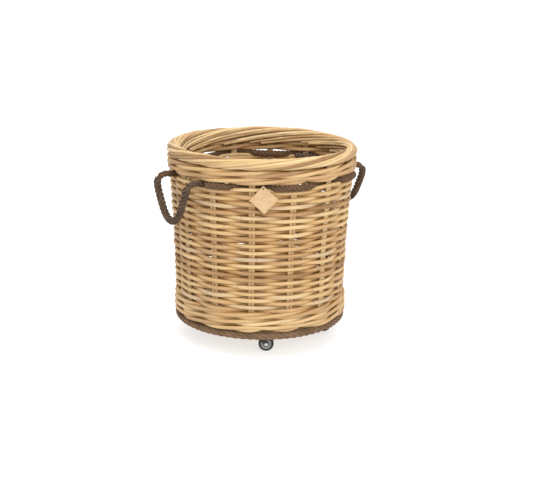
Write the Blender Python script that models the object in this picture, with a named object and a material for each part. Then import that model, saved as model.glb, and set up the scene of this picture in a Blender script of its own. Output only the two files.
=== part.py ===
"""Round wicker log basket with two rope handles, on four small swivel casters.

The basket's axis is +Z and the floor is z = 0. Angles run from the front (-Y) towards +X.
"""

import math

import bmesh
import bpy
from mathutils import Vector
from mathutils.geometry import tessellate_polygon

GAP = 0.0003  # left between pieces that touch

# Wall: stake pairs with rods woven round them.
STAKES = 14
STAKE_STEP = 2 * math.pi / STAKES
FIRST_STAKE = math.radians(-5.7)
ROD = 0.008  # one stake rod; a stake is two of them side by side
ROUND = 4 * STAKES  # facets of a ring

# Levels, bottom to top.
AXLE_Z = 0.0200
BOARD_LOW = 0.0540
BOARD_TOP = 0.0720
SIDING_LOW = 0.1213
GAP_LOW = 0.4420
GAP_TOP = 0.4608
BORDER_LOW = 0.4940
RIM_TOP = 0.5240

STAKE_FOOT = 0.2038  # radius of the stakes between the board and the foot rope

# Each row is a level, the wall's inner and outer radius, and the radius of the stakes.
UPSETT = [
    (0.0723, 0.2000, 0.2290, 0.2078),
    (0.0900, 0.2045, 0.2315, 0.2158),
    (0.1210, 0.2045, 0.2300, 0.2170),
]
SIDING = [
    (SIDING_LOW, 0.2045, 0.2290, 0.2170),
    (0.2850, 0.2105, 0.2348, 0.2222),
    (GAP_LOW, 0.2205, 0.2455, 0.2330),
]
TOP_WALING = [
    (GAP_TOP, 0.2190, 0.2480, 0.2335),
    (0.4770, 0.2175, 0.2500, 0.2338),
    (BORDER_LOW - 0.0005, 0.2180, 0.2490, 0.2340),
]
RIM_RADIUS = 0.2500
RIM_WIDTH = 0.0330

# Ropes.
FOOT_ROPE = 0.0107  # radius of the rope round the base
FOOT_ROPE_LINE = 0.2191
FOOT_ROPE_Z = 0.0613
BAND_ROPE = 0.0080
BAND_Z = (GAP_LOW + GAP_TOP) / 2
BAND_LINE = 0.2332
BAND_SWING = 0.0127
HANDLE_ROPE = 0.0086
HANDLES = {"left": math.radians(-55.0), "right": math.radians(121.0)}
HANDLE_FOOT = math.radians(16.6)  # each side of the handle's middle
HANDLE_CENTRE = 0.2299  # radius of the chord between a handle's feet
HANDLE_PIVOT = Vector((0.0715, 0.0480, -0.0060))  # along, out from the chord, up

# Tag.
TAG_SIDE = 0.0500
TAG_THICK = 0.0016
TAG_ANGLE = math.radians(1.0)
TAG_RADIUS = 0.2505
TAG_HOLE_Z = 0.4539
TAG_HOLE_DROP = 0.0070  # from the tag's top corner

# Base board and casters.
BOARD_RADIUS = 0.1995
CASTER_RING = 0.1580
CASTERS = {"front": 0, "right": 90, "back": 180, "left": 270}
TRAIL = 0.0180
PLATE_LONG = 0.0500
PLATE_WIDE = 0.0280
PLATE_THICK = 0.0020
SCREW_PITCH = 0.0380
SCREW = 0.0014
SCREW_DEEP = 0.0120
YOKE_TOP = 0.0498
YOKE_LOW = 0.0478
FORK_HALF = 0.0130
FORK_METAL = 0.0015
KINGPIN = 0.0040
AXLE = 0.0030
HUB = 0.0135
TYRE = 0.0200
WHEEL_HALF = 0.0085

WICKER = ((0.66, 0.47, 0.27), 0.60, 0.0)
STAKE_CANE = ((0.70, 0.50, 0.28), 0.55, 0.0)
ROPE = ((0.11, 0.070, 0.048), 0.85, 0.0)
FOOT = ((0.20, 0.125, 0.075), 0.85, 0.0)
PLY = ((0.48, 0.33, 0.18), 0.60, 0.0)
CARD = ((0.72, 0.52, 0.32), 0.70, 0.0)
TWINE = ((0.55, 0.42, 0.26), 0.80, 0.0)
ZINC = ((0.50, 0.50, 0.52), 0.35, 1.0)
BLACK_STEEL = ((0.03, 0.03, 0.032), 0.40, 0.6)
RUBBER = ((0.025, 0.025, 0.028), 0.75, 0.0)
GREY_PLASTIC = ((0.42, 0.42, 0.41), 0.50, 0.0)


def polar(radius, angle, z):
    return Vector((radius * math.sin(angle), -radius * math.cos(angle), z))


def clear_scene():
    for old in list(bpy.data.objects):
        bpy.data.objects.remove(old, do_unlink=True)


def finished(name, data, finish):
    """Link an object that shows the data in a material of its own."""
    colour, roughness, metallic = finish
    material = bpy.data.materials.new(name)
    material.use_nodes = True
    shader = material.node_tree.nodes["Principled BSDF"]
    shader.inputs["Base Color"].default_value = (*colour, 1.0)
    shader.inputs["Roughness"].default_value = roughness
    shader.inputs["Metallic"].default_value = metallic
    data.materials.append(material)
    made = bpy.data.objects.new(name, data)
    bpy.context.collection.objects.link(made)
    return made


def mesh_object(name, shape, finish, smooth=True):
    bmesh.ops.recalc_face_normals(shape, faces=shape.faces)
    data = bpy.data.meshes.new(name)
    shape.to_mesh(data)
    shape.free()
    if smooth:
        data.shade_smooth()
        data.set_sharp_from_angle(angle=math.radians(40))
    return finished(name, data, finish)


def cap(shape, rings):
    """Fill the flat face between an outer ring of vertices and the holes in it."""
    corners = [vert for ring in rings for vert in ring]
    for triangle in tessellate_polygon([[v.co for v in ring] for ring in rings]):
        shape.faces.new([corners[i] for i in triangle])


def wall(shape, low, high):
    for i in range(len(low)):
        j = (i + 1) % len(low)
        shape.faces.new((low[i], low[j], high[j], high[i]))


def rings_of(shape, column):
    """Add a column's loops to the shape and join each to the next."""
    rings = [[shape.verts.new(point) for point in loop] for loop in column]
    for low, high in zip(rings, rings[1:]):
        wall(shape, low, high)
    return rings


def lofted(name, columns, finish, extras=(), smooth=True):
    """A solid between flat ends: an outer column and the holes that run through it.

    An extra column starts at the low end and stops by itself, as a pocket or a boss.
    """
    shape = bmesh.new()
    through = [rings_of(shape, column) for column in columns]
    others = [rings_of(shape, column) for column in extras]
    cap(shape, [rings[0] for rings in through + others])
    cap(shape, [rings[-1] for rings in through])
    for rings in others:
        cap(shape, [rings[-1]])
    return mesh_object(name, shape, finish, smooth)


def turned(name, outline, finish, steps=ROUND):
    """Turn a closed outline of (radius, height) points round local Z."""
    shape = bmesh.new()
    verts = [shape.verts.new((radius, 0.0, height)) for radius, height in outline]
    edges = [shape.edges.new((a, b)) for a, b in zip(verts, verts[1:] + verts[:1])]
    bmesh.ops.spin(
        shape,
        geom=verts + edges,
        axis=(0, 0, 1),
        cent=(0, 0, 0),
        angle=2 * math.pi,
        steps=steps,
        use_merge=True,
    )
    bmesh.ops.remove_doubles(shape, verts=shape.verts, dist=0.000001)
    on_axis = [
        e for e in shape.edges if all(v.co.xy.length < 0.000001 for v in e.verts)
    ]
    bmesh.ops.delete(shape, geom=on_axis, context="EDGES")
    return mesh_object(name, shape, finish)


def oval(centre, half_width, half_height, height, sides):
    turns = [2 * math.pi * k / sides for k in range(sides)]
    return [
        (centre + half_width * math.cos(t), height + half_height * math.sin(t))
        for t in turns
    ]


def tube(name, points, radius, finish, closed=False, radii=None, sides=2):
    """A bevelled curve through the points; radii thins it towards rounded ends."""
    data = bpy.data.curves.new(name, "CURVE")
    data.dimensions = "3D"
    data.bevel_depth = radius
    data.bevel_resolution = sides
    data.use_fill_caps = not closed
    spline = data.splines.new("POLY")
    spline.points.add(len(points) - 1)
    spline.use_cyclic_u = closed
    for i, point in enumerate(points):
        spline.points[i].co = (*point, 1.0)
        spline.points[i].radius = radii[i] if radii else 1.0
    return finished(name, data, finish)


def smooth_line(knots, step):
    """Points about a step apart on a Catmull-Rom curve through the knots."""
    line = [2 * knots[0] - knots[1], *knots, 2 * knots[-1] - knots[-2]]
    points = []
    for a, b, c, d in zip(line, line[1:], line[2:], line[3:]):
        parts = max(1, round((c - b).length / step))
        for k in range(parts):
            t = k / parts
            points.append(
                0.5
                * (
                    2 * b
                    + (c - a) * t
                    + (2 * a - 5 * b + 4 * c - d) * t * t
                    + (3 * b - a - 3 * c + d) * t**3
                )
            )
    points.append(knots[-1])
    return points


def pivot(name, place):
    empty = bpy.data.objects.new(name, None)
    empty.empty_display_size = 0.02
    empty.location = place
    bpy.context.collection.objects.link(empty)
    return empty


def hang_on(piece, parent):
    """Parent a piece that was made in world space, without moving it."""
    piece.parent = parent
    piece.location = piece.location - parent.location


# Wall


def circle(radius, z, start=0.0, sides=ROUND):
    turns = [start + 2 * math.pi * k / sides for k in range(sides)]
    return [polar(radius, t, z) for t in turns]


def stake_loop(angle, radius, z, grow=0.0):
    """The outline of two rods side by side, seen from above."""
    centre = polar(radius, angle, z)
    out = polar(1.0, angle, 0.0)
    along = Vector((-out.y, out.x, 0.0))
    points = []
    for side, first in ((1, -67.5), (-1, 112.5)):
        for k in range(4):
            turn = math.radians(first + 45 * k)
            across = side * ROD / 2 + (ROD / 2 + grow) * math.cos(turn)
            points.append(
                centre + along * across + out * (ROD / 2 + grow) * math.sin(turn)
            )
    return points


def stake_angle(number):
    return FIRST_STAKE + number * STAKE_STEP


def channel(number, rows):
    return [stake_loop(stake_angle(number), row[3], row[0], GAP) for row in rows]


def woven_ring(name, rows):
    outside = [circle(row[2], row[0]) for row in rows]
    inside = [circle(row[1], row[0]) for row in rows]
    channels = [channel(k, rows) for k in range(STAKES)]
    return lofted(name, [outside, inside, *channels], WICKER)


def stake(number):
    """A stake runs from the board's edge up through every band to the border."""
    top = TOP_WALING[-1]
    foot = [(level, 0, 0, STAKE_FOOT) for level in (BOARD_LOW + 0.0015, 0.0625)]
    rows = [*foot, *UPSETT, *SIDING[1:], *TOP_WALING[:2]]
    rows.append((top[0], 0, 0, top[3]))
    column = [stake_loop(stake_angle(number), row[3], row[0]) for row in rows]
    return lofted(f"stake_{number + 1:02d}", [column], STAKE_CANE)


def packing(side):
    """Short rows that close the gap between a handle's two feet."""
    middle = HANDLES[side]
    reach = math.radians(14.0)
    number = round((middle - FIRST_STAKE) / STAKE_STEP)
    rows = [
        (GAP_LOW + GAP, 0.2210, 0.2460, SIDING[-1][3]),
        (GAP_TOP - GAP, 0.2210, 0.2465, TOP_WALING[0][3]),
    ]
    turns = [middle - reach + 2 * reach * k / 4 for k in range(5)]
    outside = [
        [polar(row[2], t, row[0]) for t in turns]
        + [polar(row[1], t, row[0]) for t in reversed(turns)]
        for row in rows
    ]
    return lofted(f"packing_rows_{side}", [outside, channel(number, rows)], WICKER)


def rim_border():
    half_height = (RIM_TOP - BORDER_LOW) / 2
    section = oval(
        RIM_RADIUS - RIM_WIDTH / 2,
        RIM_WIDTH / 2,
        half_height / math.cos(math.pi / 10),
        BORDER_LOW + half_height,
        10,
    )
    turned("rim_border", section, WICKER)


def build_wall():
    woven_ring("lower_waling", UPSETT)
    woven_ring("siding", SIDING)
    woven_ring("upper_waling", TOP_WALING)
    for number in range(STAKES):
        stake(number)
    for side in HANDLES:
        packing(side)
    rim_border()


# Ropes


def band_radius(angle):
    """The band rope goes outside one stake and inside the next."""
    phase = math.pi * (angle - FIRST_STAKE) / STAKE_STEP
    wave = math.cos(phase)
    return BAND_LINE - BAND_SWING * wave * (1.5 - 0.5 * wave * wave)


def handle_frame(side):
    out = polar(1.0, HANDLES[side], 0.0)
    along = Vector((-out.y, out.x, 0.0))
    origin = polar(HANDLE_CENTRE, HANDLES[side], BAND_Z)
    return origin, along, out


def in_handle_frame(side, point):
    origin, along, out = handle_frame(side)
    return origin + along * point[0] + out * point[1] + Vector((0, 0, point[2]))


def stub_knots(side, end):
    """From the gap out to just short of the handle's pivot, at one end of it."""
    pivot_point = Vector((end * HANDLE_PIVOT.x, HANDLE_PIVOT.y, HANDLE_PIVOT.z))
    shoulder = Vector((end * 0.0722, 0.0300, 0.0020))
    near = pivot_point + (shoulder - pivot_point).normalized() * (HANDLE_ROPE + 2 * GAP)
    points = [Vector((end * 0.0690, 0.0050, 0.0)), Vector((end * 0.0705, 0.0170, 0.0014))]
    return [in_handle_frame(side, p) for p in (*points, shoulder, near)]


def band_rope(name, from_side, to_side, turn):
    """One rope: half the band, then out through the gap as a handle's first foot."""
    start = HANDLES[from_side] + HANDLE_FOOT + math.radians(3.4)
    end = HANDLES[to_side] - HANDLE_FOOT - math.radians(5.2) + turn
    knots = [start + (end - start) * k / 36 for k in range(37)]
    band = [
        polar(band_radius(angle if turn == 0 else angle - math.pi), angle, BAND_Z)
        for angle in knots
    ]
    foot = HANDLES[to_side] - HANDLE_FOOT
    bend = [polar(0.2246, foot - math.radians(2.6), BAND_Z)]
    bend.append(polar(0.2325, foot - math.radians(0.9), BAND_Z))
    line = smooth_line(band + bend + stub_knots(to_side, -1), 0.0120)
    tube(name, line, BAND_ROPE, ROPE)


def rope_tail(side):
    """The handle's other foot goes back in and lies behind the next stake."""
    foot = HANDLES[side] + HANDLE_FOOT
    number = math.ceil((foot - FIRST_STAKE) / STAKE_STEP)
    behind = stake_angle(number)
    inner = BAND_LINE - ROD / 2 - HANDLE_ROPE - 0.0008
    knots = [
        polar(inner, behind + math.radians(6.5), BAND_Z),
        polar(inner, behind + math.radians(2.5), BAND_Z),
        polar(inner + 0.0002, behind - math.radians(1.5), BAND_Z),
        polar(inner + 0.0042, (behind + foot) / 2 - math.radians(0.4), BAND_Z),
        polar(BAND_LINE, foot, BAND_Z),
    ]
    line = smooth_line(knots + stub_knots(side, 1), 0.0100)
    tube(f"rope_tail_{side}", line, HANDLE_ROPE, ROPE)


def handle_line(side):
    """The hanging loop, from one pivot down and up to the other."""
    half = [
        HANDLE_PIVOT,
        Vector((0.0655, 0.0498, -0.0240)),
        Vector((0.0545, 0.0505, -0.0470)),
        Vector((0.0390, 0.0500, -0.0755)),
        Vector((0.0215, 0.0505, -0.0935)),
        Vector((0.0000, 0.0510, -0.1000)),
    ]
    mirrored = [Vector((-p.x, p.y, p.z)) for p in reversed(half[:-1])]
    return smooth_line([in_handle_frame(side, p) for p in half + mirrored], 0.0130)


def rounded_ends(line, radius):
    """Add a half ball to both ends of a line: its extra points and all its radii."""
    turns = [math.radians(t) for t in (15, 40, 65)]
    first = (line[0] - line[1]).normalized()
    last = (line[-1] - line[-2]).normalized()
    head = [line[0] + first * radius * math.cos(t) for t in turns]
    tail = [line[-1] + last * radius * math.cos(t) for t in reversed(turns)]
    sizes = [math.sin(t) for t in turns]
    return head + line + tail, sizes + [1.0] * len(line) + sizes[::-1]


def handle_rope(side):
    line, radii = rounded_ends(handle_line(side), HANDLE_ROPE)
    rope = tube(f"handle_rope_{side}", line, HANDLE_ROPE, ROPE, radii=radii)
    middle = in_handle_frame(side, (0.0, HANDLE_PIVOT.y, HANDLE_PIVOT.z))
    hang_on(rope, pivot(f"handle_pivot_{side}", middle))


def foot_rope():
    section = oval(FOOT_ROPE_LINE, FOOT_ROPE, FOOT_ROPE, FOOT_ROPE_Z, 8)
    turned("foot_rope", section, FOOT)


def build_ropes():
    band_rope("band_rope_front", "left", "right", 0.0)
    band_rope("band_rope_back", "right", "left", 2 * math.pi)
    for side in HANDLES:
        rope_tail(side)
        handle_rope(side)
    foot_rope()


# Tag


def tag_card():
    half = TAG_SIDE / math.sqrt(2)
    centre = TAG_HOLE_DROP - half
    corners = [(half, 0), (0, half), (-half, 0), (0, -half)]
    hexagon = [math.radians(60 * k) for k in range(6)]
    outline = [(x, centre + z) for x, z in corners]
    hole = [(0.0022 * math.cos(t), 0.0022 * math.sin(t)) for t in hexagon]
    columns = [
        [[Vector((x, y, z)) for x, z in loop] for y in (-TAG_THICK / 2, TAG_THICK / 2)]
        for loop in (outline, hole)
    ]
    card = lofted("tag", columns, CARD, smooth=False)
    card.rotation_euler.z = TAG_ANGLE
    card.location = polar(TAG_RADIUS, TAG_ANGLE, TAG_HOLE_Z)


def tag_string():
    """A loop through the tag's hole and round the band rope."""
    string = 0.00035
    rope = band_radius(TAG_ANGLE)
    high = BAND_ROPE + GAP + string
    wide = high + 0.0006
    turns = [math.radians(t) for t in range(50, 311, 20)]
    loop = [(rope + wide * math.cos(t), BAND_Z + high * math.sin(t)) for t in turns]
    front = [(-0.0070, -0.0012), (0.0, -0.0009), (0.0022, 0.0)]
    front += [(0.0, 0.0009), (-0.0070, 0.0012)]
    loop += [(TAG_RADIUS + out, TAG_HOLE_Z + up) for out, up in front]
    points = [polar(radius, TAG_ANGLE, z) for radius, z in loop]
    tube("tag_string", points, string, TWINE, closed=True, sides=1)


# Base and casters


def caster_place(angle):
    return polar(CASTER_RING, math.radians(angle), 0.0)


def screw_places(place):
    half = Vector((SCREW_PITCH / 2, 0.0, 0.0))
    return [place - half, place + half]


def small_circle(centre, radius, z, sides=6):
    turns = [2 * math.pi * k / sides for k in range(sides)]
    return [
        Vector((centre.x + radius * math.cos(t), centre.y + radius * math.sin(t), z))
        for t in turns
    ]


def base_board():
    pilot = SCREW + GAP
    levels = (BOARD_LOW, BOARD_LOW + SCREW_DEEP)
    holes = [
        [small_circle(place, pilot, z) for z in levels]
        for angle in CASTERS.values()
        for place in screw_places(caster_place(angle))
    ]
    disc = [circle(BOARD_RADIUS, z) for z in (BOARD_LOW, BOARD_TOP)]
    lofted("base_board", [disc], PLY, extras=holes)


def plate_screw(name, place):
    """A pan-head screw, up through the plate into the board."""
    head = BOARD_LOW - 2 * GAP - PLATE_THICK
    end = BOARD_LOW + SCREW_DEEP - 2 * GAP
    sizes = [(0.0022, head - 0.0012), (0.0030, head - 0.0006), (0.0030, head)]
    sizes += [(SCREW, head), (SCREW, end)]
    rings = [small_circle(place, radius, z) for radius, z in sizes]
    lofted(name, [rings], ZINC)


def plate_outline(place, z):
    """A plate with round ends, from above."""
    radius = PLATE_WIDE / 2
    reach = PLATE_LONG / 2 - radius
    points = []
    for side, first in ((1, -90), (-1, 90)):
        for k in range(7):
            turn = math.radians(first + 30 * k)
            x = place.x + side * reach + radius * math.cos(turn)
            points.append(Vector((x, place.y + radius * math.sin(turn), z)))
    return points


def caster_plate(name, place):
    """The plate, with the thrust washer and kingpin riveted into it."""
    low = BOARD_LOW - GAP - PLATE_THICK
    levels = (low, BOARD_LOW - GAP)
    columns = [[plate_outline(place, z) for z in levels]]
    for centre in screw_places(place):
        columns.append([small_circle(centre, SCREW + GAP, z) for z in levels])
    sizes = [(0.0110, low), (0.0110, YOKE_TOP + GAP), (KINGPIN, YOKE_TOP + GAP)]
    sizes += [(KINGPIN, YOKE_LOW - GAP), (0.0064, YOKE_LOW - GAP)]
    sizes += [(0.0064, YOKE_LOW - 0.0012), (0.0048, YOKE_LOW - 0.0026)]
    pin = [small_circle(place, radius, z, 12) for radius, z in sizes]
    lofted(f"{name}_plate", columns, ZINC, extras=[pin])


def fork_outline():
    """A fork leg from the side: wide at the yoke, round about the axle."""
    end = 0.0062
    turns = [math.radians(t) for t in (35, -10, -55, -100, -145, 170)]
    lower = [
        (TRAIL + end * math.cos(t), AXLE_Z + end * math.sin(t)) for t in turns
    ]
    top = [(-0.0130, YOKE_TOP), (0.0150, YOKE_TOP)]
    return top, [(0.0150, YOKE_LOW), *lower, (-0.0130, YOKE_LOW)]


def fork_leg(shape, side):
    """One leg's outer and inner faces and the edge between them, as rings of vertices."""
    top, lower = fork_outline()
    bore = [2 * math.pi * k / 8 for k in range(8)]
    outer = [shape.verts.new((x, side * FORK_HALF, z)) for x, z in top + lower]
    inner_y = side * (FORK_HALF - FORK_METAL)
    inner = [shape.verts.new((x, inner_y, z)) for x, z in lower]
    holes = [
        [
            shape.verts.new(
                (TRAIL + 0.0034 * math.cos(t), y, AXLE_Z + 0.0034 * math.sin(t))
            )
            for t in bore
        ]
        for y in (side * FORK_HALF, inner_y)
    ]
    cap(shape, [outer, holes[0]])
    cap(shape, [inner, holes[1]])
    wall(shape, holes[0], holes[1])
    rim = outer[len(top) :]
    for i in range(len(inner) - 1):
        shape.faces.new((rim[i], rim[i + 1], inner[i + 1], inner[i]))
    return outer[: len(top)], rim, inner


def fork(name, parent):
    """A bent steel fork: two legs under a flat yoke that turns on the kingpin."""
    shape = bmesh.new()
    top_a, rim_a, inner_a = fork_leg(shape, 1)
    top_b, rim_b, inner_b = fork_leg(shape, -1)
    holes = [
        [shape.verts.new(p) for p in small_circle(Vector(), KINGPIN + 0.0005, z, 12)]
        for z in (YOKE_TOP, YOKE_LOW)
    ]
    cap(shape, [[top_a[0], top_a[1], top_b[1], top_b[0]], holes[0]])
    cap(shape, [[inner_a[0], inner_a[-1], inner_b[-1], inner_b[0]], holes[1]])
    wall(shape, holes[0], holes[1])
    shape.faces.new((top_a[1], top_b[1], rim_b[0], inner_b[0], inner_a[0], rim_a[0]))
    shape.faces.new((top_a[0], top_b[0], rim_b[-1], inner_b[-1], inner_a[-1], rim_a[-1]))
    made = mesh_object(f"{name}_fork", shape, BLACK_STEEL)
    made.parent = parent


def wheel_piece(name, outline, finish, parent, steps=16):
    piece = turned(name, outline, finish, steps)
    piece.rotation_euler.x = math.pi / 2
    piece.parent = parent
    return piece


def axle(name, parent):
    """A domed pin through both legs and the wheel."""
    side = FORK_HALF + GAP
    outline = [
        (0.0, -side - 0.0016),
        (0.0030, -side - 0.0012),
        (0.0046, -side),
        (AXLE, -side),
        (AXLE, side),
        (0.0046, side),
        (0.0030, side + 0.0012),
        (0.0, side + 0.0016),
    ]
    wheel_piece(f"{name}_axle", outline, ZINC, parent, steps=12)


def hub(name, parent):
    boss = FORK_HALF - FORK_METAL - GAP
    bore = AXLE + 0.0004
    web = WHEEL_HALF - 0.0035
    outline = [
        (bore, -boss),
        (0.0055, -boss),
        (0.0065, -web),
        (0.0110, -web),
        (0.0118, -WHEEL_HALF),
        (HUB, -WHEEL_HALF),
        (HUB, WHEEL_HALF),
        (0.0118, WHEEL_HALF),
        (0.0110, web),
        (0.0065, web),
        (0.0055, boss),
        (bore, boss),
    ]
    wheel_piece(f"{name}_hub", outline, GREY_PLASTIC, parent)


def tyre(name, parent):
    inside = HUB + GAP
    tread = WHEEL_HALF - 0.0035
    outline = [
        (inside, -WHEEL_HALF),
        (0.0180, -WHEEL_HALF),
        (TYRE, -tread),
        (TYRE, tread),
        (0.0180, WHEEL_HALF),
        (inside, WHEEL_HALF),
    ]
    wheel_piece(f"{name}_tyre", outline, RUBBER, parent, steps=20)


def caster(where, angle):
    name = f"caster_{where}"
    place = caster_place(angle)
    caster_plate(name, place)
    for number, centre in enumerate(screw_places(place), 1):
        plate_screw(f"{name}_screw_{number}", centre)
    swivel = pivot(f"{name}_swivel", place)
    wheel = pivot(f"{name}_wheel", Vector((TRAIL, 0.0, AXLE_Z)))
    wheel.parent = swivel
    fork(name, swivel)
    axle(name, wheel)
    hub(name, wheel)
    tyre(name, wheel)


def main():
    clear_scene()
    base_board()
    build_wall()
    build_ropes()
    tag_card()
    tag_string()
    for where, angle in CASTERS.items():
        caster(where, angle)


main()
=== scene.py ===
import math

import bmesh
import bpy
import numpy as np
from mathutils import Matrix, Vector
from mathutils.geometry import tessellate_polygon


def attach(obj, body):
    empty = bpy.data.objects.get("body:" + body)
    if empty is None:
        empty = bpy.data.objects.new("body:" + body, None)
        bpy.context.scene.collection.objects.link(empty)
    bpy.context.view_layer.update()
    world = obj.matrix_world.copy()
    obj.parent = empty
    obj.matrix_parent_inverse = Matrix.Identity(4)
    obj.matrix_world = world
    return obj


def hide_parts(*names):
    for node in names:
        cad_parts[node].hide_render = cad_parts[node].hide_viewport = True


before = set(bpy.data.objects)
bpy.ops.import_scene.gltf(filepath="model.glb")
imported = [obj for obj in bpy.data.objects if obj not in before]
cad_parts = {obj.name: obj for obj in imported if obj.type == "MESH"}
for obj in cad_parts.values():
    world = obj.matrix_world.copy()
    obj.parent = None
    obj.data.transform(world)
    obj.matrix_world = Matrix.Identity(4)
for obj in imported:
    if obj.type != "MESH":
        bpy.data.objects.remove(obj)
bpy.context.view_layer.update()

rng = np.random.default_rng(7)

# Wall of the basket. Angles run from the front (-Y) towards +X.
STAKES = 14
STEP = 2 * math.pi / STAKES
FIRST = math.radians(-5.7)
# height and radius of the uprights' middle, and of the weave's outer face
STAKE_LINE = np.array(
    [(0.0555, 0.2038), (0.0625, 0.2038), (0.0723, 0.2078), (0.0900, 0.2158), (0.1210, 0.2170)]
    + [(0.2850, 0.2222), (0.4420, 0.2330), (0.4608, 0.2335), (0.4935, 0.2340)]
)
OUTSIDE = np.array(
    [(0.0723, 0.2300), (0.0900, 0.2318), (0.1210, 0.2300), (0.1400, 0.2297)]
    + [(0.2850, 0.2348), (0.4420, 0.2455), (0.4700, 0.2492), (0.4950, 0.2495)]
)
ROD = 0.0048  # radius of a weaving rod
SHORT_ROD, SHORT_SWING = 0.0043, 0.0083
STAKE_ROD = 0.0043
RIM_ROD = 0.0041
TALL = 1.14  # weaving rods are taller than they are deep
ROW_LOW, ROW_PITCH, ROWS = 0.1284, 0.0091, 35
ROW_SWING = 0.0071  # how far a row leaves the uprights' line to pass them
LOW_WALING, LOW_ROUND, LOW_ROUNDS = 0.0817, 0.0167, 3
TOP_WALING, TOP_ROUND, TOP_ROUNDS = 0.4692, 0.0165, 2
WALING_DEPTH = 0.0082  # the inner rod's middle, inside the uprights' line
RIM_LINE, RIM_Z, RIM_ACROSS, RIM_UP = 0.2336, 0.5090, 0.0128, 0.0112
BAND_Z = 0.4514
BAND_LINE, BAND_SWING = 0.2332, 0.0127
BAND_ROPE, HANDLE_ROPE = 0.0085, 0.0086
HANDLE_FULL = 0.0101  # the loops are laid more loosely than the rope's ends
LAY_STEP, LAY_PITCH = 0.0023, 0.046
FOOT_ROPE, FOOT_LINE, FOOT_Z, FOOT_PITCH = 0.0107, 0.2191, 0.0613, 0.078
FOOT_POINTS = 520  # keeps the foot rope under 200,000 faces
HANDLES = {"left": math.radians(-55.0), "right": math.radians(121.0)}
FOOT = math.radians(16.6)  # from a handle's middle to each of its feet
CHORD = 0.2299  # from the basket's axis to the middle of a handle's feet
PIVOT = (0.0715, 0.0480, -0.0060)  # along, out and up from the middle of a handle's feet
TAG_ANGLE, TAG_PIN, TAG_Z = math.radians(1.0), 0.2505, 0.4539


def polar(radius, angle, z):
    """Points at a radius, an angle and a height, which may be arrays."""
    radius, angle, z = np.broadcast_arrays(radius, angle, z)
    return np.stack([radius * np.sin(angle), -radius * np.cos(angle), z], -1)


def unit(v):
    return v / np.maximum(np.linalg.norm(v, axis=-1, keepdims=True), 1e-12)


def heading(points, closed=False):
    """The direction of a line at each of its points."""
    if closed:
        return unit(np.roll(points, -1, 0) - np.roll(points, 1, 0))
    return unit(np.gradient(points, axis=0))


def beside(out):
    """The level direction across an outward one, towards larger angles."""
    return np.array([-out[1], out[0], 0.0])


def stake_radius(z):
    return np.interp(z, STAKE_LINE[:, 0], STAKE_LINE[:, 1])


def outer_radius(z):
    return np.interp(z, OUTSIDE[:, 0], OUTSIDE[:, 1])


# Meshes made of many rods


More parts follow.
